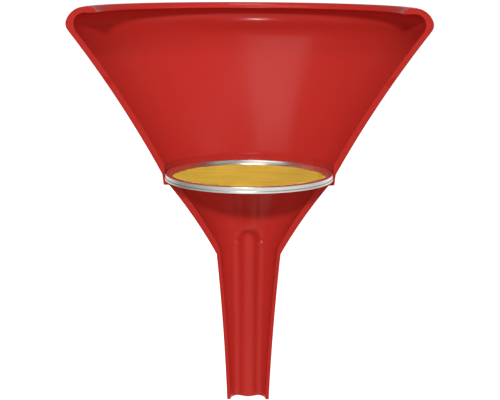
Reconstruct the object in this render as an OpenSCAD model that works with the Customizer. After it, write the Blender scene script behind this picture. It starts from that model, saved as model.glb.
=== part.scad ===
// Pouring funnel with a lift-out brass strainer, shown cut along its length.
// Origin: centre of the spout's end, +Z up the axis. The cut plane is Y = 0.

/* [Display] */
// Cut the funnel's body along its length and keep the half behind the plane Y = 0
cut_away = true; // [true, false]

/* [Bowl] */
// Outer diameter of the bowl at its widest, round the splash rim
rim_d = 160; // [130:1:200]
// Height from the shoulder to the widest point of the rim
bowl_h = 66; // [50:1:110]
// How far the bowl's wall bows in towards the axis
bowl_bow = 1.5; // [0:0.1:3]
// Wall of the bowl under the rim
bowl_wall = 2.4; // [1.6:0.1:3]
// Wall of the bowl above the strainer
bowl_foot_wall = 2.8; // [2:0.1:3.5]

/* [Splash rim] */
// Outer radius of the curl at its widest
curl_r = 4.6; // [4.2:0.1:8]
// Outer radius of the curl's flatter top
curl_top_r = 9.2; // [8:0.1:14]
// Angle above the widest point where the curl passes from the one radius to the other
curl_turn = 22; // [5:1:40]
// Wall of the curl at its widest point, where it is thickest
curl_wall = 3.4; // [3:0.1:4]
// Thickness of the lip that turns in over the bowl
lip_wall = 2.7; // [2:0.1:3.5]
// Flat run of the lip past the curl, towards the axis
lip_run = 2.2; // [0:0.1:10]
// How much further in the lower edge of the lip's end stands
lip_slant = 2.6; // [0:0.1:3]
// How far the lip's end face is rounded out
lip_round = 0.5; // [0:0.1:1]

/* [Strainer seat] */
// Gap between the strainer and the seat's wall, all round
seat_gap = 0.2; // [0.2:0.05:0.6]
// Wall outside the seat at the shoulder
seat_wall = 1.05; // [1:0.05:2.5]
// Taper of the seat's outer wall over its height
seat_taper = 0.5; // [0:0.1:0.9]
// Width of the shelf that the strainer rests on
shelf_w = 2.95; // [2:0.05:4]
// Thickness of the shelf
shelf_t = 3.1; // [2:0.1:5]
// Height of the shoulder above the shelf
shoulder_h = 1.7; // [1:0.1:3]
// Height of the bore above the seated strainer
bore_over = 0.7; // [0.3:0.1:3]
// Height of the lead-in above the bore
lead_h = 2.2; // [1:0.1:5]
// Widening of the bore over the lead-in
lead_flare = 0.2; // [0:0.1:1]

/* [Lower cone] */
// Height of the cone between the spout and the seat
cone_h = 31.4; // [20:0.1:60]
// Outward step from the cone to the seat's outer wall
cone_step = 2.5; // [1:0.1:3]
// How far the cone's wall bows in towards the axis
cone_bow = 0.85; // [0:0.05:1.5]
// Wall of the cone
cone_wall = 3.1; // [1.8:0.1:3.5]

/* [Spout] */
// Length of the spout
spout_l = 68.6; // [40:0.1:120]
// Outer diameter of the spout at its end
spout_tip_d = 19.1; // [16:0.1:24]
// Outer diameter of the spout where it meets the cone
spout_root_d = 28.8; // [25:0.1:36]
// How far the spout's wall bows in towards the axis
spout_bow = 0.5; // [0:0.05:1]
// Wall of the spout
spout_wall = 1.6; // [1.2:0.1:2.2]
// How far the throat's inside blend reaches along each wall
throat_reach = 3.5; // [2:0.1:12]

/* [Vent channel] */
// Width of the channel down the back of the spout
vent_w = 5.8; // [4:0.1:7]
// Depth of the channel's centre line below the spout's outside
vent_inset = 1.05; // [0.5:0.05:2]
// Wall round the channel
vent_wall = 1.7; // [1.2:0.1:2]
// Height of the centre of the channel's domed top above the foot of the cone
vent_rise = 2.9; // [0:0.1:5]

/* [Strainer] */
// Outer diameter of the strainer's base flange
strainer_d = 74.5; // [60:0.5:90]
// Overall height of the strainer
strainer_h = 2.6; // [2:0.1:4]
// Width of the strainer's rim, seen from above
rim_w = 3.1; // [2.5:0.1:5]
// How much further in the rim's inner leg stands at the cloth than at the top
leg_slope = 0.9; // [0:0.1:0.9]
// Thickness of the folded sheet
sheet_t = 0.4; // [0.3:0.05:0.5]
// How far the base flange stands out past the rim
flange_lip = 0.15; // [0:0.05:0.4]
// Width of the groove between the rim and the base's hem
groove_h = 0.35; // [0.1:0.05:0.5]
// Thickness of the wire cloth, two wires
cloth_t = 0.4; // [0.3:0.05:0.8]
// Gap between the base's upstand and the rim that it is pressed into
press_gap = 0.05; // [0.02:0.01:0.1]

/* [Hidden] */
$fn = 96;
// Straight steps in each curve of the outline
STEPS = 12;
// How far a cut runs past the face that it opens
OVER = 1;

RED = [0.70, 0.16, 0.14];
TIN = [0.80, 0.80, 0.78];
BRASS = [0.82, 0.64, 0.26];

// Radii, from the strainer outwards
strainer_r = strainer_d / 2;
seat_r = strainer_r + seat_gap;
shelf_r = seat_r - shelf_w;
shoulder_r = seat_r + seat_wall;
seat_foot_r = shoulder_r - seat_taper;
cone_top_r = seat_foot_r - cone_step;

// Heights, from the spout's end upwards
cone_top_z = spout_l + cone_h;
shelf_z = cone_top_z + shelf_t;
strainer_top_z = shelf_z + strainer_h;
bore_top_z = strainer_top_z + bore_over;

// A point at an angle on a circle
function on_circle(c, r, a) = c + r * [cos(a), sin(a)];

// A round bend about a centre, from just past one angle up to another
function bend(c, r, from, to) =
    [for (i = [1 : STEPS]) on_circle(c, r, from + (to - from) * i / STEPS)];

// A shallow bow from just past a up to b, which sags to the left of the way there
function bow(a, b, sag) =
    let (left = [a[1] - b[1], b[0] - a[0]] / norm(b - a))
    [for (i = [1 : STEPS])
        let (t = i / STEPS)
        a + t * (b - a) + 4 * sag * t * (1 - t) * left];

// A smooth turn from just past a up to b, which heads for the corner between them
function blend(a, corner, b) =
    [for (i = [1 : STEPS])
        let (t = i / STEPS)
        (1 - t) * (1 - t) * a + 2 * t * (1 - t) * corner + t * t * b];

// How far a wall leans out from upright, and how far its bow turns it at each end
function lean(a, b) = atan2(b[0] - a[0], b[1] - a[1]);
function turn(a, b, sag) = 2 * atan(2 * sag / norm(b - a));

// The direction square to a leaning wall, towards the axis
function inward(angle) = [-cos(angle), sin(angle)];

// The point where the line through p along u crosses the line through q along v
function meet(p, u, q, v) = p + u * cross(q - p, v) / cross(u, v);

// The sag that gives a part of a bowed wall the same curve as the whole
function part_sag(sag, part, whole) = sag * pow(norm(part) / norm(whole), 2);

// Corners of the body's outside
tip = [spout_tip_d / 2, 0];
root = [spout_root_d / 2, spout_l];
cone_top = [cone_top_r, cone_top_z];
seat_foot = [seat_foot_r, cone_top_z];
shoulder = [shoulder_r, shelf_z + shoulder_h];

// The curl is a bend of two radii, and starts where it has the bowl's own slope
curl_c = [rim_d / 2 - curl_r, shoulder[1] + bowl_h];
curl_top_c = on_circle(curl_c, curl_r - curl_top_r, curl_turn);
bowl_lean = lean(shoulder, curl_c) + asin(curl_r / norm(curl_c - shoulder));
curl_from = -bowl_lean - turn(shoulder, curl_c, bowl_bow);
bowl_top = on_circle(curl_c, curl_r, curl_from);
lip_top = curl_top_c + [-lip_run, curl_top_r];
lip_end = lip_top - [lip_slant, lip_wall];

// Corners of the body's inside, the same walls moved in by their thickness
tip_in = tip - [spout_wall, 0];
root_in = root - [spout_wall, 0];
cone_turn = turn(root, cone_top, cone_bow);
cone_foot_in = root + cone_wall * inward(lean(root, cone_top) - cone_turn);
cone_top_in = cone_top + cone_wall * inward(lean(root, cone_top) + cone_turn);
bowl_turn = turn(shoulder, bowl_top, bowl_bow);
bowl_foot_in = shoulder + bowl_foot_wall * inward(lean(shoulder, bowl_top) - bowl_turn);

// Inside of the curl: one bend up to the widest point, which keeps the bowl's wall, and one under the lip
curl_in_r = (curl_r - bowl_wall - (curl_r - curl_wall) * cos(curl_from)) / (1 - cos(curl_from));
curl_in_c = [rim_d / 2 - curl_wall - curl_in_r, curl_c[1]];
bowl_top_in = on_circle(curl_in_c, curl_in_r, curl_from);
lip_in_r = lip_end[1] - curl_c[1];
lip_in_c = [rim_d / 2 - curl_wall - lip_in_r, curl_c[1]];

// The throat, where the inside of the spout would meet the inside of the cone
throat = meet(tip_in, root_in - tip_in, cone_top_in, cone_foot_in - cone_top_in);
throat_low = throat + throat_reach * (tip_in - throat) / norm(tip_in - throat);
throat_high = throat + throat_reach * (cone_top_in - throat) / norm(cone_top_in - throat);

// The whole space inside the outer skin, with no hollow
module outer_outline() {
    polygon(concat(
        [[0, 0], tip],
        bow(tip, root, spout_bow),
        bow(root, cone_top, cone_bow),
        [seat_foot, shoulder],
        bow(shoulder, bowl_top, bowl_bow),
        bend(curl_c, curl_r, curl_from, curl_turn),
        bend(curl_top_c, curl_top_r, curl_turn, 90),
        [lip_top],
        bow(lip_top, lip_end, -lip_round),
        [[0, lip_end[1]]]
    ));
}

// Hollow of the bowl, which runs under the splash rim and opens at the lip
module bowl_space() {
    polygon(concat(
        [[0, bowl_foot_in[1]], bowl_foot_in],
        bow(bowl_foot_in, bowl_top_in, bowl_bow),
        bend(curl_in_c, curl_in_r, curl_from, 0),
        bend(lip_in_c, lip_in_r, 0, 90),
        [lip_end, lip_end + [0, OVER], [0, lip_end[1] + OVER]]
    ));
}

// Bore that the strainer drops into, with its lead-in
module seat_space() {
    polygon([
        [0, shelf_z],
        [seat_r, shelf_z],
        [seat_r, bore_top_z],
        [seat_r + lead_flare, bore_top_z + lead_h],
        [0, bore_top_z + lead_h]
    ]);
}

// Hollow of the spout and the lower cone, with a smooth throat between them
module lower_space() {
    polygon(concat(
        [[0, -OVER], tip_in - [0, OVER], tip_in],
        bow(tip_in, throat_low, part_sag(spout_bow, throat_low - tip_in, root - tip)),
        blend(throat_low, throat, throat_high),
        bow(throat_high, cone_top_in, part_sag(cone_bow, cone_top_in - throat_high, cone_top - root)),
        [[shelf_r, shelf_z], [shelf_r, shelf_z + OVER], [0, shelf_z + OVER]]
    ));
}

// The body before its vent channel
module turned_body() {
    rotate_extrude()
        difference() {
            outer_outline();
            bowl_space();
            seat_space();
            lower_space();
        }
}

// The full outside of the spout and the lower cone
module lower_envelope() {
    rotate_extrude()
        polygon(concat(
            [[0, 0], tip],
            bow(tip, root, spout_bow),
            bow(root, cone_top, cone_bow),
            [[0, cone_top_z]]
        ));
}

// A round-topped channel along the back of the spout, open outwards all the way up
module channel(width) {
    length = (spout_l + vent_rise) / cos(lean(tip, root));
    translate([0, tip[0] - vent_inset, 0])
        rotate([-lean(tip, root), 0, 0]) {
            translate([0, 0, -2 * OVER])
                cylinder(h = length + 2 * OVER, d = width);
            translate([-width / 2, 0, -2 * OVER])
                cube([width, cone_top_r, length + 2 * OVER]);
            translate([0, 0, length]) {
                sphere(d = width);
                rotate([-90, 0, 0])
                    cylinder(h = cone_top_r, d = width);
            }
        }
}

// Keeps what lies behind the cut plane
module behind_cut() {
    if (cut_away)
        intersection() {
            children();
            translate([-rim_d, 0, -OVER])
                cube([2 * rim_d, 2 * rim_d, 2 * curl_c[1]]);
        }
    else
        children();
}

// One-piece moulding: splash rim, bowl, strainer seat, lower cone and spout
module funnel_body() {
    color(RED)
        behind_cut()
            difference() {
                union() {
                    turned_body();
                    intersection() {
                        lower_envelope();
                        channel(vent_w + 2 * vent_wall);
                    }
                }
                channel(vent_w);
            }
}

// Heights and radii inside the strainer
cloth_z = shelf_z + sheet_t;
cloth_top_z = cloth_z + cloth_t;
hem_top_z = shelf_z + 2 * sheet_t;
rim_out_r = strainer_r - flange_lip;
rim_in_r = rim_out_r - rim_w;
upstand_r = rim_out_r - sheet_t - press_gap;
upstand_top_z = strainer_top_z - sheet_t - press_gap;

// Folded channel, open downwards, which holds the cloth down with its sloping inner leg
module strainer_rim() {
    color(TIN)
        rotate_extrude()
            polygon([
                [rim_in_r, cloth_top_z],
                [rim_in_r + sheet_t, cloth_top_z],
                [rim_in_r + sheet_t + leg_slope, strainer_top_z - sheet_t],
                [rim_out_r - sheet_t, strainer_top_z - sheet_t],
                [rim_out_r - sheet_t, hem_top_z + groove_h],
                [rim_out_r, hem_top_z + groove_h],
                [rim_out_r, strainer_top_z],
                [rim_in_r + leg_slope, strainer_top_z]
            ]);
}

// Base under the cloth: a flange hemmed round its outside, and an upstand pressed into the rim
module strainer_base() {
    color(TIN)
        rotate_extrude()
            polygon([
                [rim_in_r, shelf_z],
                [strainer_r, shelf_z],
                [strainer_r, hem_top_z],
                [upstand_r, hem_top_z],
                [upstand_r, upstand_top_z],
                [upstand_r - sheet_t, upstand_top_z],
                [upstand_r - sheet_t, cloth_z],
                [rim_in_r, cloth_z]
            ]);
}

// Woven brass wire cloth, held between the rim and the base
module wire_cloth() {
    color(BRASS)
        translate([0, 0, cloth_z])
            cylinder(h = cloth_t, r = upstand_r - sheet_t - press_gap);
}

funnel_body();
strainer_rim();
strainer_base();
wire_cloth();
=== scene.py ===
"""Looks for a strainer funnel that is cut open along its length.

The moulded body, the strainer's two metal rings and its woven brass cloth are built here round the
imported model, in its own frame. Sizes below are in millimetres and become metres in the meshes.
"""

import math

import bpy
import numpy as np
from mathutils import Matrix, Vector
from mathutils.geometry import tessellate_polygon


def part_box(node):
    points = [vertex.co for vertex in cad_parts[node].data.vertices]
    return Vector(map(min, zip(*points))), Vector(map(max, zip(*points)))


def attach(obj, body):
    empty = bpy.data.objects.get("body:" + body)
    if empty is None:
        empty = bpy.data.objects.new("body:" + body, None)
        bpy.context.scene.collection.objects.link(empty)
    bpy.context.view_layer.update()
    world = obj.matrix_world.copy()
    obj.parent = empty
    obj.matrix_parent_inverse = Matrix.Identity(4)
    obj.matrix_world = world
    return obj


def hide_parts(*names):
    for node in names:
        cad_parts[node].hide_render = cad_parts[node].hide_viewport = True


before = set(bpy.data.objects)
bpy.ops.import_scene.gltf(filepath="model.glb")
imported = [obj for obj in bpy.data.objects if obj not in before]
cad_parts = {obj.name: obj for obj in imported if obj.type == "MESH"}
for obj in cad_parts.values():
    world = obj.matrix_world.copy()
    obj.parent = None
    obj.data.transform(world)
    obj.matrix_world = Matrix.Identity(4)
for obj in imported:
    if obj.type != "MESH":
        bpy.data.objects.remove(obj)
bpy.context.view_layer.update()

MM = 0.001


# ---------------------------------------------------------------- sizes, in millimetres

def corner(node, high):
    """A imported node's lowest or highest corner."""
    return np.array(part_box(node)[int(high)]) / MM


BODY_TOP = corner("funnel_body", True)
BASE_LOW = corner("strainer_base", False)
BASE_TOP = corner("strainer_base", True)
CHANNEL_TOP = corner("strainer_rim", True)
CLOTH_LOW = corner("wire_cloth", False)
CLOTH_TOP = corner("wire_cloth", True)

RIM_R = BODY_TOP[0]
SHELF_Z = BASE_LOW[2]
STRAINER_R = BASE_TOP[0]
STRAINER_TOP = CHANNEL_TOP[2]

# Splash rim
CURL_R = 4.6
CURL_TOP_R = 9.2
CURL_TURN = math.radians(22)
CURL_WALL = 3.4
LIP_WALL = 2.7
LIP_RUN = 2.2
LIP_SLANT = 2.6
LIP_ROUND = 0.5
CURL_RISE = CURL_TOP_R - (CURL_TOP_R - CURL_R) * math.sin(CURL_TURN)
CURL_CENTRE = np.array([RIM_R - CURL_R, BODY_TOP[2] - CURL_RISE])

# Bowl
BOWL_BOW = 1.5
BOWL_WALL = 2.4
BOWL_FOOT_WALL = 2.8

# Strainer seat
SEAT_GAP = 0.2
SEAT_WALL = 1.05
SEAT_TAPER = 0.5
SHELF_W = 2.95
SHELF_T = 3.1
SHOULDER_H = 1.7
BORE_OVER = 0.7
LEAD_H = 2.2
LEAD_FLARE = 0.2
SEAT_R = STRAINER_R + SEAT_GAP
SHELF_R = SEAT_R - SHELF_W
SHOULDER = np.array([SEAT_R + SEAT_WALL, SHELF_Z + SHOULDER_H])
SEAT_FOOT = np.array([SHOULDER[0] - SEAT_TAPER, SHELF_Z - SHELF_T])
BORE_TOP = STRAINER_TOP + BORE_OVER

# Lower cone
CONE_H = 31.4
CONE_STEP = 2.5
CONE_TOP = SEAT_FOOT - np.array([CONE_STEP, 0.0])
CONE_BOW = 0.85
CONE_WALL = 3.1

# Spout
TIP_D = 19.1
ROOT_D = 28.8
TIP = np.array([TIP_D / 2, 0.0])
ROOT = np.array([ROOT_D / 2, CONE_TOP[1] - CONE_H])
SPOUT_BOW = 0.5
SPOUT_WALL = 1.6
THROAT_REACH = 3.5

# Vent channel down the back of the spout
VENT_HALF = 2.9
VENT_WALL = 1.7
VENT_INSET = 1.05
VENT_RISE = 2.9
VENT_FILLET = 3.2
VENT_EDGE = 0.5
VENT_REACH = math.radians(60)

# Soft ridge up the back of the cone, from the channel to the seat
RIDGE_HALF = 4.4
RIDGE_FLANK = 1.3
RIDGE_RISE = 0.4
RIDGE_STARTS = ROOT[1] + 2
RIDGE_FULL = ROOT[1] + 9

# Wire cloth
WIRE_PITCH = 0.6
WIRE_SIDES = 4
WIRE_STEPS = 2
WIRE_END_GAP = 0.2

# Edges, and the fineness of the body's mesh
EDGE_BREAK = 0.15
MOULDED_EDGE = 0.28
SHEET_EDGE = 0.12
SPOUT_FACE = 1.5
VENT_FACE = 0.4
BOWL_FACE = 2.5
HALF_TURN_POINTS = 145
VENT_POINTS = 121
VENT_SHARE = 0.17


# ---------------------------------------------------------------- outlines

def lean(a, b):
    """How far the line from a to b leans out from upright, in radians."""
    return math.atan2(b[0] - a[0], b[1] - a[1])


def turn(a, b, sag):
    """How far a bowed wall's slope turns from its chord at each end."""
    return 2 * math.atan(2 * sag / np.linalg.norm(b - a))


def inward(angle):
    """The direction square to a leaning wall, towards the axis."""
    return np.array([-math.cos(angle), math.sin(angle)])


def on_circle(centre, radius, angle):
    return centre + radius * np.array([math.cos(angle), math.sin(angle)])


def bow(a, b, sag, steps=48):
    """A shallow bow from a to b that sags to the left of the way there."""
    t = np.linspace(0, 1, steps + 1)[:, None]
    along = b - a
    left = np.array([-along[1], along[0]]) / np.linalg.norm(along)
    return a + t * along + 4 * sag * t * (1 - t) * left


def bend(centre, radius, start, end, steps=24):
    """A round bend about a centre, from one angle to another."""
    return np.array([on_circle(centre, radius, angle) for angle in np.linspace(start, end, steps + 1)])


def ease(a, middle, b, steps=24):
    """A smooth turn from a to b that heads for the point between them."""
    t = np.linspace(0, 1, steps + 1)[:, None]
    return (1 - t) ** 2 * a + 2 * t * (1 - t) * middle + t ** 2 * b


def meet(p, u, q, v):
    """The point where the line through p along u crosses the line through q along v."""
    return p + u * np.cross(q - p, v) / np.cross(u, v)


CURL_START = -lean(SHOULDER, CURL_CENTRE) - turn(SHOULDER, CURL_CENTRE, BOWL_BOW) - math.asin(
    CURL_R / np.linalg.norm(CURL_CENTRE - SHOULDER))
BOWL_TOP = on_circle(CURL_CENTRE, CURL_R, CURL_START)
CURL_TOP_CENTRE = on_circle(CURL_CENTRE, CURL_R - CURL_TOP_R, CURL_TURN)
LIP_TOP = CURL_TOP_CENTRE + np.array([-LIP_RUN, CURL_TOP_R])
LIP_END = LIP_TOP - np.array([LIP_SLANT, LIP_WALL])

BOWL_TURN = turn(SHOULDER, BOWL_TOP, BOWL_BOW)
BOWL_FOOT_IN = SHOULDER + BOWL_FOOT_WALL * inward(lean(SHOULDER, BOWL_TOP) - BOWL_TURN)
CURL_IN_R = (CURL_R - BOWL_WALL - (CURL_R - CURL_WALL) * math.cos(CURL_START)) / (
    1 - math.cos(CURL_START))
CURL_IN_CENTRE = np.array([RIM_R - CURL_WALL - CURL_IN_R, CURL_CENTRE[1]])
BOWL_TOP_IN = on_circle(CURL_IN_CENTRE, CURL_IN_R, CURL_START)
LIP_IN_R = LIP_END[1] - CURL_CENTRE[1]
LIP_IN_CENTRE = np.array([RIM_R - CURL_WALL - LIP_IN_R, CURL_CENTRE[1]])
CONE_TURN = turn(ROOT, CONE_TOP, CONE_BOW)
CONE_FOOT_IN = ROOT + CONE_WALL * inward(lean(ROOT, CONE_TOP) - CONE_TURN)
CONE_TOP_IN = CONE_TOP + CONE_WALL * inward(lean(ROOT, CONE_TOP) + CONE_TURN)
TIP_IN = TIP - np.array([SPOUT_WALL, 0])
THROAT = meet(TIP_IN, ROOT - TIP, CONE_TOP_IN, CONE_FOOT_IN - CONE_TOP_IN)


def towards(a, b, distance):
    """The point a distance from a on the way to b."""
    return a + distance * (b - a) / np.linalg.norm(b - a)


def part_sag(sag, part, whole):
    """The sag that gives a part of a bowed wall the same curve as the whole."""
    return sag * (np.linalg.norm(part) / np.linalg.norm(whole)) ** 2


def outer_lower():
    """Outside of the spout and the lower cone, from the tip up."""
    return np.vstack([bow(TIP, ROOT, SPOUT_BOW), bow(ROOT, CONE_TOP, CONE_BOW)[1:]])


def inner_lower():
    """Inside of the spout, the throat and the lower cone, from the tip up."""
    low = towards(THROAT, TIP_IN, THROAT_REACH)
    high = towards(THROAT, CONE_TOP_IN, THROAT_REACH)
    return np.vstack([
        bow(TIP_IN, low, part_sag(SPOUT_BOW, low - TIP_IN, ROOT - TIP)),
        ease(low, THROAT, high)[1:],
        bow(high, CONE_TOP_IN, part_sag(CONE_BOW, CONE_TOP_IN - high, CONE_TOP - ROOT))[1:],
    ])


def outer_curl():
    """Outside of the curl, from the bowl to its top."""
    return np.vstack([
        bend(CURL_CENTRE, CURL_R, CURL_START, CURL_TURN),
        bend(CURL_TOP_CENTRE, CURL_TOP_R, CURL_TURN, math.pi / 2)[1:],
    ])


def bowl_inside():
    """Inside of the bowl above the lead-in, up to the curl."""
    whole = bow(BOWL_FOOT_IN, BOWL_TOP_IN, BOWL_BOW, 400)
    lead_top = BORE_TOP + LEAD_H
    above = whole[whole[:, 1] > lead_top]
    lead_end = np.array([min(SEAT_R + LEAD_FLARE, above[0][0] - 0.02), lead_top])
    return np.vstack([[lead_end], above])


def body_outline():
    """The whole section, anticlockwise from the tip's outer edge, with every corner still sharp."""
    outside = np.vstack([
        outer_lower(),
        [SEAT_FOOT, SHOULDER],
        bow(SHOULDER, BOWL_TOP, BOWL_BOW)[1:],
        outer_curl()[1:],
        [LIP_TOP],
        bow(LIP_TOP, LIP_END, -LIP_ROUND)[1:],
    ])
    inside = np.vstack([
        inner_lower(),
        [[SHELF_R, SHELF_Z], [SEAT_R, SHELF_Z], [SEAT_R, BORE_TOP]],
        bowl_inside(),
        bend(CURL_IN_CENTRE, CURL_IN_R, CURL_START, 0)[1:],
        bend(LIP_IN_CENTRE, LIP_IN_R, 0, math.pi / 2)[1:],
    ])
    return np.vstack([outside, inside[::-1]])


def closed_lengths(points):
    """Distance along a closed outline up to each point, and back to the first."""
    gaps = np.linalg.norm(np.roll(points, -1, 0) - points, axis=1)
    return np.concatenate([[0], np.cumsum(gaps)])


def resampled(points, spacing):
    """A closed outline with points at even spacing."""
    at = closed_lengths(points)
    count = int(round(at[-1] / spacing))
    want = np.arange(count) * at[-1] / count
    loop = np.vstack([points, points[:1]])
    return np.column_stack([np.interp(want, at, loop[:, k]) for k in range(2)])


def softened(points, radius, spacing=0.05):
    """A closed outline with its corners rounded over about a radius."""
    even = resampled(points, spacing)
    reach = int(math.ceil(3 * radius / spacing))
    weight = np.exp(-0.5 * (np.arange(-reach, reach + 1) * spacing / (0.6 * radius)) ** 2)
    weight /= weight.sum()
    return sum(w * np.roll(even, k, 0) for w, k in zip(weight, range(-reach, reach + 1)))


def thinned(points, longest, sharpest=math.radians(9)):
    """Keeps the points that a closed outline needs: far apart where it is straight, near where it turns."""
    ahead = np.roll(points, -1, 0) - points
    heading = np.unwrap(np.arctan2(ahead[:, 1], ahead[:, 0]))
    length = np.linalg.norm(ahead, axis=1)
    kept = [0]
    run = 0.0
    for k in range(1, len(points)):
        run += length[k - 1]
        if run >= longest(points[k]) or abs(heading[k] - heading[kept[-1]]) >= sharpest:
            kept.append(k)
            run = 0.0
    return points[kept]


# ---------------------------------------------------------------- vent channel

VENT_LEAN = lean(TIP, ROOT)
VENT_FOOT = np.array([0.0, TIP[0] - VENT_INSET, 0.0])
VENT_UP = np.array([0.0, math.sin(VENT_LEAN), math.cos(VENT_LEAN)])
VENT_OUT = np.array([0.0, math.cos(VENT_LEAN), -math.sin(VENT_LEAN)])
VENT_LENGTH = (ROOT[1] + VENT_RISE) / math.cos(VENT_LEAN)


def channel_distance(points, half_width):
    """Distance from a round-topped channel that is open outwards, negative inside it."""
    local = points - VENT_FOOT
    over = np.maximum(local @ VENT_UP - VENT_LENGTH, 0)
    beside = np.hypot(points[:, 0], over)
    below = np.minimum(local @ VENT_OUT, 0)
    return np.hypot(beside, below) - half_width


def smooth_least(a, b, reach):
    """The lesser of two distances, with a fillet of about that reach where they cross."""
    h = np.clip(0.5 + 0.5 * (b - a) / reach, 0, 1)
    return b + (a - b) * h - reach * h * (1 - h)


def smooth_step(value, low, high):
    """Eases from 0 at the low value to 1 at the high one."""
    t = np.clip((value - low) / (high - low), 0, 1)
    return t * t * (3 - 2 * t)


OUTER_WALL = outer_lower()
INNER_WALL = inner_lower()
VENT_ZONE_TOP = ROOT[1] + 12


def wall_radius(wall, z):
    return np.interp(z, wall[:, 1], wall[:, 0])


def first_hit(angle, z, start, end, is_solid, steps=160):
    """Radius where a level line from the start first meets the solid, for each angle and height."""
    def solid_at(radius):
        return is_solid(np.column_stack([radius * np.cos(angle), radius * np.sin(angle), z]), radius)

    low, high = start.copy(), end.copy()
    found = np.zeros(len(z), bool)
    for k in range(1, steps + 1):
        radius = start + (end - start) * k / steps
        hit = ~found & solid_at(radius)
        high[hit] = radius[hit]
        low[~found & ~hit] = radius[~found & ~hit]
        found |= hit
    for _ in range(24):
        middle = (low + high) / 2
        inside = solid_at(middle)
        high = np.where(inside, middle, high)
        low = np.where(inside, low, middle)
    return high


def vented_inside(angle, z):
    """Inner radius of the spout and the cone, with the channel's bulge."""
    wall = wall_radius(INNER_WALL, z)

    def is_solid(points, radius):
        bulge = channel_distance(points, VENT_HALF + VENT_WALL)
        return smooth_least(wall - radius, bulge, VENT_FILLET) <= 0

    radius = first_hit(angle, z, np.full(len(z), 1.0), wall + 0.01, is_solid)
    beside = np.abs(radius * np.cos(angle))
    ridge = 1 - smooth_step(beside, RIDGE_HALF - RIDGE_FLANK, RIDGE_HALF + RIDGE_FLANK)
    return radius - RIDGE_RISE * ridge * smooth_step(z, RIDGE_STARTS, RIDGE_FULL)


def vented_outside(angle, z):
    """Outer radius of the spout and the cone, with the channel's groove."""
    wall = wall_radius(OUTER_WALL, z)

    def is_solid(points, radius):
        groove = channel_distance(points, VENT_HALF)
        return smooth_least(wall - radius, groove, VENT_EDGE) >= 0

    return first_hit(angle, z, wall + 0.01, np.full(len(z), 1.0), is_solid)


def vented(radius, angle, z):
    """Moves points of the lower walls to where the vent channel takes them."""
    moved = radius.copy()
    near = (z < CONE_TOP[1] - 1) & (np.abs(angle - math.pi / 2) < VENT_REACH)
    level = np.maximum(z[near], 0.0)
    inner, outer = wall_radius(INNER_WALL, level), wall_radius(OUTER_WALL, level)
    share = (radius[near] - inner) / (outer - inner)
    new_inner = vented_inside(angle[near], level)
    new_outer = vented_outside(angle[near], level)
    moved[near] = new_inner + share * (new_outer - new_inner)
    return moved


# ---------------------------------------------------------------- meshes

def new_piece(name, vertices, faces, materials, body, replaced, flat_from=None):
    """A mesh object that stands for CAD nodes and rides on their body.

    Faces from flat_from on are flat, and take the second material.
    """
    mesh = bpy.data.meshes.new(name)
    mesh.from_pydata((np.asarray(vertices) * MM).tolist(), [], faces)
    for material in materials:
        mesh.materials.append(material)
    smooth = np.ones(len(mesh.polygons), bool)
    if flat_from is not None:
        smooth[flat_from:] = False
        second = np.zeros(len(mesh.polygons), np.int32)
        second[flat_from:] = 1
        mesh.polygons.foreach_set("material_index", second)
    mesh.polygons.foreach_set("use_smooth", smooth)
    mesh.validate()
    mesh.update()
    piece = bpy.data.objects.new(name, mesh)
    bpy.context.scene.collection.objects.link(piece)
    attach(piece, body)
    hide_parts(*replaced)
    return piece


def grid_faces(rows, columns, rows_close, columns_close):
    """Quads over a grid whose vertex number is row * columns + column."""
    faces = []
    for r in range(rows if rows_close else rows - 1):
        for c in range(columns if columns_close else columns - 1):
            r2, c2 = (r + 1) % rows, (c + 1) % columns
            faces.append((r * columns + c, r * columns + c2, r2 * columns + c2, r2 * columns + c))
    return faces


def normals_of(outline):
    """Outward normals of a closed anticlockwise outline."""
    along = np.roll(outline, -1, 0) - np.roll(outline, 1, 0)
    along /= np.linalg.norm(along, axis=1)[:, None]
    return np.column_stack([along[:, 1], -along[:, 0]])


CUT_DEPTH = "depth_of_cut"
SKIN_STEP = 0.2
SKIN_REACH = 0.8


def half_turn_columns():
    """Places round the half turn, from 0 to 1, closer together over the vent channel."""
    coarse = np.linspace(0, 1, HALF_TURN_POINTS)
    fine = np.linspace(0.5 - VENT_SHARE, 0.5 + VENT_SHARE, VENT_POINTS)
    return np.unique(np.round(np.concatenate([coarse[np.abs(coarse - 0.5) > VENT_SHARE], fine]), 6))


def distance_from_skin(outline):
    """0 for the points of the section's outside, 1 for those of its inside."""
    outside = np.vstack([outer_lower(), bow(SHOULDER, BOWL_TOP, BOWL_BOW), outer_curl()])
    skin = resampled(outside, SKIN_STEP)
    gaps = [np.linalg.norm(skin - point, axis=1).min() for point in outline]
    return np.array(gaps) > SKIN_REACH


def longest_face(point):
    """How long a face may be there, up the section."""
    if point[1] < ROOT[1] - 6:
        return SPOUT_FACE
    if point[1] < VENT_ZONE_TOP:
        return VENT_FACE
    return BOWL_FACE


def cut_columns(outline):
    """Points of the cut's flat face, and of the middle of its broken edge, on the side of +X."""
    outward = normals_of(outline)
    columns = []
    for depth, inset in ((0.0, 1.0), (0.3, 0.3)):
        drawn_in = outline - outward * EDGE_BREAK * inset
        depths = np.full(len(outline), EDGE_BREAK * depth)
        columns.append(np.column_stack([drawn_in[:, 0], depths, drawn_in[:, 1]]))
    return columns


def swept_columns(outline):
    """Points of the section at each place round the back, from one cut to the other."""
    columns = []
    start = np.arcsin(EDGE_BREAK / outline[:, 0])
    for t in half_turn_columns():
        angle = start + t * (math.pi - 2 * start)
        radius = vented(outline[:, 0], angle, outline[:, 1])
        columns.append(np.column_stack([radius * np.cos(angle), radius * np.sin(angle), outline[:, 1]]))
    return columns


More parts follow.
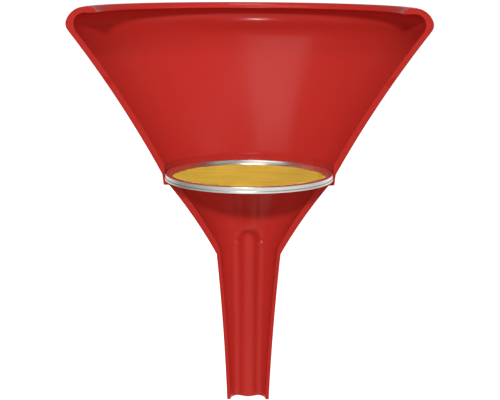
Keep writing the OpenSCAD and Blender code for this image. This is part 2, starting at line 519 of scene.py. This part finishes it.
def cut_triangles(vertices, columns, column):
    """Triangles that fill the cut's flat face in one column, turned to look along -Y."""
    wide = len(columns)
    ring = [Vector((p[0], p[2], 0)) for p in columns[column]]
    filled = []
    for corners in tessellate_polygon([ring]):
        ids = [k * wide + column for k in corners]
        p, q, s = (vertices[i] for i in ids)
        filled.append(tuple(ids if np.cross(q - p, s - p)[1] < 0 else ids[::-1]))
    return filled


def build_body(plastic, sawn):
    """The moulded body: its section swept round the back, with the edges of the cut broken."""
    outline = thinned(softened(body_outline(), MOULDED_EDGE), longest_face)
    outline[:, 1] = np.maximum(outline[:, 1], 0)
    right = cut_columns(outline)
    left = [column * np.array([-1, 1, 1]) for column in right[::-1]]
    columns = right + swept_columns(outline) + left
    wide = len(columns)
    vertices = np.stack(columns, axis=1).reshape(-1, 3)
    faces = grid_faces(len(outline), wide, True, False)
    flat_from = len(faces)
    for column in (0, wide - 1):
        faces += cut_triangles(vertices, columns, column)
    piece = new_piece("moulded_body", vertices, faces, [plastic, sawn], "funnel",
                      ["funnel_body"], flat_from)
    depth = piece.data.attributes.new(CUT_DEPTH, "FLOAT", "POINT")
    depth.data.foreach_set("value", np.repeat(distance_from_skin(outline), wide).astype(np.float32))
    return piece


def build_ring(name, section, material, node, corner_radius, around=256):
    """A metal ring: a closed section turned all the way round."""
    outline = thinned(softened(np.array(section, float), corner_radius, 0.02), lambda p: 0.6,
                      math.radians(14))
    angle = np.arange(around) * 2 * math.pi / around
    vertices = np.stack([
        np.outer(outline[:, 0], np.cos(angle)),
        np.outer(outline[:, 0], np.sin(angle)),
        np.repeat(outline[:, 1][:, None], around, 1),
    ], axis=2).reshape(-1, 3)
    faces = grid_faces(len(outline), around, True, True)
    return new_piece(name, vertices, faces, [material], "strainer", [node])


def wire_rows(edge):
    """For each wire of a set: how far off the middle it runs, its points, and its first wave's sign."""
    rows = int(edge / WIRE_PITCH)
    for row in range(-rows, rows):
        offset = (row + 0.5) * WIRE_PITCH
        reach = math.sqrt(max(edge ** 2 - offset ** 2, 0))
        steps = int(reach / WIRE_PITCH * WIRE_STEPS)
        if steps >= 2:
            along = (np.arange(-steps, steps + 1) / WIRE_STEPS + 0.5) * WIRE_PITCH
            yield offset, along, 1 if row % 2 else -1


def wire_faces(count, base, across_x):
    """Faces of one wire, with its two ends closed, for vertices that start at a base number."""
    first = tuple(range(WIRE_SIDES))
    last = tuple((count - 1) * WIRE_SIDES + k for k in first)
    faces = grid_faces(count, WIRE_SIDES, False, True) + [first, last[::-1]]
    return [tuple(base + k for k in (face if across_x else face[::-1])) for face in faces]


def build_wires(name, across_x, material):
    """One set of the cloth's wires, each waving over and under those of the other set."""
    thick = (CLOTH_TOP[2] - CLOTH_LOW[2]) / 2
    middle = (CLOTH_TOP[2] + CLOTH_LOW[2]) / 2
    radius = 0.49 * thick
    swing = (-0.5 if across_x else 0.5) * thick
    side = np.arange(WIRE_SIDES) * 2 * math.pi / WIRE_SIDES
    vertices, faces = [], []
    for offset, along, sign in wire_rows(CLOTH_TOP[0] - WIRE_END_GAP):
        faces += wire_faces(len(along), len(vertices), across_x)
        height = middle + sign * swing * np.sin(math.pi * along / WIRE_PITCH)
        for place, level in zip(along, height):
            for a in side:
                across = offset + radius * math.cos(a)
                up = level + radius * math.sin(a)
                vertices.append((place, across, up) if across_x else (across, place, up))
    return new_piece(name, np.array(vertices), faces, [material], "strainer", ["wire_cloth"])


# ---------------------------------------------------------------- finishes

class Signal:
    """A number that changes over a surface. Arithmetic on it adds Math nodes."""

    def __init__(self, finish, socket):
        self.finish, self.socket = finish, socket

    def math(self, operation, *values):
        sockets = dict(enumerate((self, *values)))
        node = self.finish.node("ShaderNodeMath", {"operation": operation}, sockets)
        return Signal(self.finish, node.outputs[0])

    def __add__(self, other):
        return self.math("ADD", other)

    __radd__ = __add__

    def __sub__(self, other):
        return self.math("SUBTRACT", other)

    def __rsub__(self, other):
        return (self * -1) + other

    def __mul__(self, other):
        return self.math("MULTIPLY", other)

    __rmul__ = __mul__


class NodeTree:
    """A node tree, with short ways to add what the finishes need."""

    def __init__(self, tree, place):
        self.tree = tree
        self.place = self.node("ShaderNodeTexCoord").outputs[place]

    def node(self, kind, settings=None, sockets=None):
        """Adds a node of a kind, with its settings, and with the values or links of its sockets."""
        made = self.tree.nodes.new(kind)
        for key, value in (settings or {}).items():
            if key == "stops":
                ramp = made.color_ramp.elements
                while len(ramp) < len(value):
                    ramp.new(1.0)
                for element, (position, level) in zip(ramp, value):
                    element.position = position
                    element.color = (level, level, level, 1)
            else:
                setattr(made, key, value)
        for key, value in (sockets or {}).items():
            self.feed(made.inputs[key], value)
        return made

    def feed(self, socket, value):
        """Links a signal or a node's output to a socket, or sets the socket to a value."""
        if isinstance(value, Signal):
            self.tree.links.new(value.socket, socket)
        elif isinstance(value, bpy.types.NodeSocket):
            self.tree.links.new(value, socket)
        else:
            socket.default_value = value

    def noise(self, size, detail=2.0, stretch=(1, 1, 1), roughness=0.5):
        """Cloudy noise from 0 to 1, with features of about a size in millimetres."""
        scaled = self.node("ShaderNodeVectorMath", {"operation": "MULTIPLY"},
                           {0: self.place, 1: tuple(s / (size * MM) for s in stretch)})
        made = self.node("ShaderNodeTexNoise", {"noise_dimensions": "3D"},
                         {"Vector": scaled.outputs[0], "Scale": 1.0, "Detail": detail,
                          "Roughness": roughness})
        return Signal(self, made.outputs[0])

    def ramp(self, signal, *stops):
        """Turns a number into another along stops of (number, level)."""
        made = self.node("ShaderNodeValToRGB", {"stops": stops}, {"Fac": signal})
        return Signal(self, made.outputs[0])

    def mix(self, share, first, second):
        """One colour turning into another as the share goes from 0 to 1."""
        made = self.node("ShaderNodeMix", {"data_type": "RGBA"}, {0: share, 6: first, 7: second})
        return made.outputs[2]

    def attribute(self, name):
        """A number that the mesh holds at each of its vertices."""
        made = self.node("ShaderNodeAttribute", {"attribute_name": name})
        return Signal(self, made.outputs["Fac"])

    def axis(self, letter):
        """How far along X, Y or Z a place is, in metres on a piece."""
        parts = self.node("ShaderNodeSeparateXYZ", None, {0: self.place})
        return Signal(self, parts.outputs["XYZ".index(letter)])


class Finish(NodeTree):
    """A material. Its fixed values go straight onto its shader."""

    def __init__(self, name, **fixed):
        self.material = bpy.data.materials.new(name)
        self.material.use_nodes = True
        super().__init__(self.material.node_tree, "Object")
        self.shader = self.tree.nodes["Principled BSDF"]
        for socket, value in fixed.items():
            self.shader.inputs[socket.replace("_", " ")].default_value = value

    def set(self, **sockets):
        for socket, value in sockets.items():
            self.feed(self.shader.inputs[socket.replace("_", " ")], value)

    def bump(self, height, distance, strength=1.0):
        """Feeds a height, in shares of a distance in millimetres, to the shader's normal."""
        made = self.node("ShaderNodeBump", None,
                         {"Height": height, "Distance": distance * MM, "Strength": strength})
        self.set(Normal=made.outputs[0])


THROAT_SPAN = 200
MIDDLE_SPAN = 25
DRAWN_LINES = 2500


def moulded_plastic():
    """Red polyethylene as it leaves the mould: semi-gloss, with faint clouding and a slight ripple.

    The mould was polished best round the top of the vent channel.
    """
    finish = Finish("moulded_red_plastic", IOR=1.5, Specular_IOR_Level=0.18)
    cloud = finish.noise(22, 3)
    fine = finish.noise(1.6, 2)
    finish.set(Base_Color=finish.mix(cloud, (0.475, 0.0245, 0.0185, 1), (0.505, 0.0265, 0.0200, 1)))
    height = finish.axis("Z") * (1 / (THROAT_SPAN * MM))
    throat = finish.ramp(height, (0.29, 0.0), (0.33, 1.0), (0.38, 1.0), (0.42, 0.0))
    across = finish.axis("X") * (1 / (MIDDLE_SPAN * MM)) + 0.5
    middle = finish.ramp(across, (0.1, 0.0), (0.2, 1.0), (0.8, 1.0), (0.9, 0.0))
    finish.set(Roughness=0.20 + 0.05 * cloud + 0.02 * fine - 0.12 * throat * middle)
    finish.bump(0.8 * finish.noise(9, 1) + 0.2 * fine, 0.05, 0.5)
    return finish.material


def sawn_plastic():
    """The same plastic where it is sawn: dull, with fine saw marks and crumbs, and painted shade darkening
    its outer edge.
    """
    finish = Finish("sawn_red_plastic", IOR=1.5, Specular_IOR_Level=0.1)
    marks = finish.noise(0.5, 3, (1, 1, 0.18))
    crumbs = finish.ramp(finish.noise(0.9, 2), (0.55, 0.0), (0.7, 1.0))
    # Painted shade: the cut face is darkened along its outer edge, next to the moulded skin.
    skin = finish.ramp(finish.attribute(CUT_DEPTH), (0.05, 1.0), (0.25, 0.0))
    shade = finish.mix(marks, (0.39, 0.014, 0.010, 1), (0.47, 0.020, 0.014, 1))
    speckled = finish.mix(crumbs * 0.45, shade, (0.52, 0.045, 0.032, 1))
    finish.set(Base_Color=finish.mix(skin * 0.7, speckled, (0.36, 0.008, 0.005, 1)))
    finish.set(Roughness=0.45 + 0.2 * marks)
    finish.bump(marks, 0.06, 0.7)
    return finish.material


def tinned_metal():
    """Bright tinned sheet, drawn round when it was pressed."""
    finish = Finish("tinned_sheet", Metallic=1.0)
    x, y, z = (finish.axis(letter) for letter in "XYZ")
    radius = (x * x + y * y).math("SQRT")
    drawn = finish.node("ShaderNodeCombineXYZ", None, {0: radius * DRAWN_LINES, 1: z * DRAWN_LINES, 2: 0})
    lines = finish.node("ShaderNodeTexNoise", {"noise_dimensions": "3D"},
                        {"Vector": drawn.outputs[0], "Scale": 1.0, "Detail": 1.0})
    lines = Signal(finish, lines.outputs[0])
    stain = finish.noise(7, 3)
    finish.set(Base_Color=finish.mix(stain, (0.86, 0.865, 0.825, 1), (0.91, 0.91, 0.88, 1)))
    finish.set(Roughness=0.25 + 0.05 * lines + 0.03 * stain)
    return finish.material


def brass():
    """Drawn brass wire, with painted shade making it darker and browner towards +X, and streaks where
    single wires differ.
    """
    finish = Finish("drawn_brass_wire", Metallic=1.0)
    tarnish = finish.noise(9, 2, (0.4, 1.6, 1))
    streaks = finish.ramp(finish.noise(2.6, 3, (0.1, 1, 0.3), 0.6), (0.38, 0.0), (0.62, 1.0))
    # Painted shade: the wire colour turns darker and browner towards +X, the side of the cloth that catches
    # less light.
    side = finish.ramp(finish.axis("X") * 13 + 0.5, (0.0, 0.0), (1.0, 1.0))
    wire = finish.mix(tarnish, (0.52, 0.325, 0.034, 1), (0.62, 0.41, 0.050, 1))
    side_shaded_wire = finish.mix(side * 0.5, wire, (0.56, 0.31, 0.048, 1))
    finish.set(Base_Color=finish.mix(streaks * 0.4, side_shaded_wire, (0.80, 0.57, 0.09, 1)))
    finish.set(Roughness=0.34 + 0.1 * tarnish)
    return finish.material


# ---------------------------------------------------------------- the strainer's rings

SHEET = CLOTH_LOW[2] - BASE_LOW[2]
RIM_W = 3.1
RIM_OUT = CHANNEL_TOP[0]
RIM_IN = RIM_OUT - RIM_W
PRESS_GAP = 0.05
UPSTAND_R = RIM_OUT - SHEET - PRESS_GAP
HEM_TOP = SHELF_Z + 2 * SHEET
GROOVE_H = 0.35
LEG_SLOPE = 0.9


def channel_section():
    """The folded rim, anticlockwise: the inner leg slopes down and inwards to hold the cloth."""
    return [
        [RIM_IN, CLOTH_TOP[2]], [RIM_IN + SHEET, CLOTH_TOP[2]],
        [RIM_IN + SHEET + LEG_SLOPE, STRAINER_TOP - SHEET], [RIM_OUT - SHEET, STRAINER_TOP - SHEET],
        [RIM_OUT - SHEET, HEM_TOP + GROOVE_H], [RIM_OUT, HEM_TOP + GROOVE_H],
        [RIM_OUT, STRAINER_TOP], [RIM_IN + LEG_SLOPE, STRAINER_TOP],
    ]


def base_section():
    """The base flange with its hem and its upstand, anticlockwise."""
    return [
        [RIM_IN, SHELF_Z], [STRAINER_R, SHELF_Z], [STRAINER_R, HEM_TOP],
        [UPSTAND_R, HEM_TOP], [UPSTAND_R, BASE_TOP[2]], [UPSTAND_R - SHEET, BASE_TOP[2]],
        [UPSTAND_R - SHEET, CLOTH_LOW[2]], [RIM_IN, CLOTH_LOW[2]],
    ]


# ---------------------------------------------------------------- build

tin = tinned_metal()
wire = brass()
build_body(moulded_plastic(), sawn_plastic())
build_ring("folded_rim", channel_section(), tin, "strainer_rim", SHEET_EDGE)
build_ring("base_flange", base_section(), tin, "strainer_base", SHEET_EDGE)
build_wires("weft_wires", True, wire)
build_wires("warp_wires", False, wire)


# ---------------------------------------------------------------- stage, light and camera

def white_floor():
    """A white floor that is lit from within, so that no shadow shows on it."""
    finish = Finish("white_floor", Roughness=0.9, Specular_IOR_Level=0.0, Emission_Strength=1.0)
    paint = finish.mix(finish.noise(900, 1), (0.60, 0.60, 0.60, 1), (0.64, 0.64, 0.64, 1))
    finish.set(Base_Color=paint, Emission_Color=(1, 1, 1, 1))
    return finish.material


FLOOR_HALF = 9.0
FLOOR_DROP = 0.001
LIT_POINT = (0, 0.03, 0.13)


def build_floor():
    mesh = bpy.data.meshes.new("floor")
    corners = [(x * FLOOR_HALF, y * FLOOR_HALF, 0) for x, y in ((-1, -1), (1, -1), (1, 1), (-1, 1))]
    mesh.from_pydata(corners, [], [(0, 1, 2, 3)])
    mesh.materials.append(white_floor())
    floor = bpy.data.objects.new("floor", mesh)
    floor.location.z = -FLOOR_DROP
    floor.visible_diffuse = False
    floor.visible_glossy = False
    bpy.context.scene.collection.objects.link(floor)


def soft_light(name, place, width, height, power, mirrored=True):
    """A soft box at a place, turned to face the bowl. One that isn't mirrored shows in no gloss."""
    data = bpy.data.lights.new(name, "AREA")
    data.shape, data.size, data.size_y, data.energy = "RECTANGLE", width, height, power
    lamp = bpy.data.objects.new(name, data)
    lamp.location = place
    lamp.rotation_mode = "QUATERNION"
    lamp.rotation_quaternion = (Vector(place) - Vector(LIT_POINT)).to_track_quat("Z", "Y")
    lamp.visible_glossy = mirrored
    bpy.context.scene.collection.objects.link(lamp)


def studio_surroundings():
    """Lights it dim from above, and paler from low in front and behind. Seen direct, it is white."""
    world = bpy.data.worlds.new("studio")
    world.use_nodes = True
    room = NodeTree(world.node_tree, "Generated")
    level = 0.50 - 0.30 * room.axis("Y") + 0.17 * room.axis("X")
    backdrop = room.ramp(room.axis("Y"), (0.3, 0.0), (0.9, 0.8))
    upper = room.ramp(room.axis("Z") * 0.5 + 0.5, (0.5, 1.0), (0.60, 0.18))
    around = room.mix((level + backdrop) * upper, (0, 0, 0, 1), (1, 1, 0.97, 1))
    seen = room.node("ShaderNodeLightPath").outputs["Is Camera Ray"]
    sky = world.node_tree.nodes["Background"]
    room.feed(sky.inputs["Color"], room.mix(seen, around, (1, 1, 1, 1)))
    bpy.context.scene.world = world


def light_stage():
    studio_surroundings()
    soft_light("key_light", (-0.12, -1.41, 0.65), 0.14, 0.11, 12.3)
    soft_light("high_left_box", (-0.287, -0.36, 1.02), 0.6, 0.5, 1.8)
    soft_light("high_front_strip", (0, -0.43, 0.98), 1.8, 0.2, 0.8)
    soft_light("overhead_box", (0, 0.08, 1.25), 0.2, 0.2, 2.1)
    soft_light("high_right_box", (0.85, -0.25, 0.75), 0.5, 0.5, 1.5, mirrored=False)
    soft_light("left_box", (-0.9, -0.5, 0.3), 0.5, 0.4, 1.2, mirrored=False)
    soft_light("right_box", (0.9, -0.5, 0.3), 0.5, 0.4, 1.4, mirrored=False)


CAMERA_PLACE = (0, -0.5411, 0.1977)
CAMERA_LENS = 89.06
CAMERA_DOWN = math.radians(10.915)
CAMERA_SWING = -0.0009
CAMERA_ROLL = 0.0050


def place_camera():
    """Looks a little down on the cut side, from just above the rim."""
    data = bpy.data.cameras.new("camera")
    data.sensor_width = 36.0
    data.lens = CAMERA_LENS
    camera = bpy.data.objects.new("camera", data)
    camera.matrix_world = (
        Matrix.Translation(CAMERA_PLACE)
        @ Matrix.Rotation(CAMERA_SWING, 4, "Z")
        @ Matrix.Rotation(math.pi / 2 - CAMERA_DOWN, 4, "X")
        @ Matrix.Rotation(CAMERA_ROLL, 4, "Z")
    )
    bpy.context.scene.collection.objects.link(camera)
    bpy.context.scene.camera = camera


build_floor()
light_stage()
place_camera()
bpy.context.scene.view_settings.view_transform = "Standard"
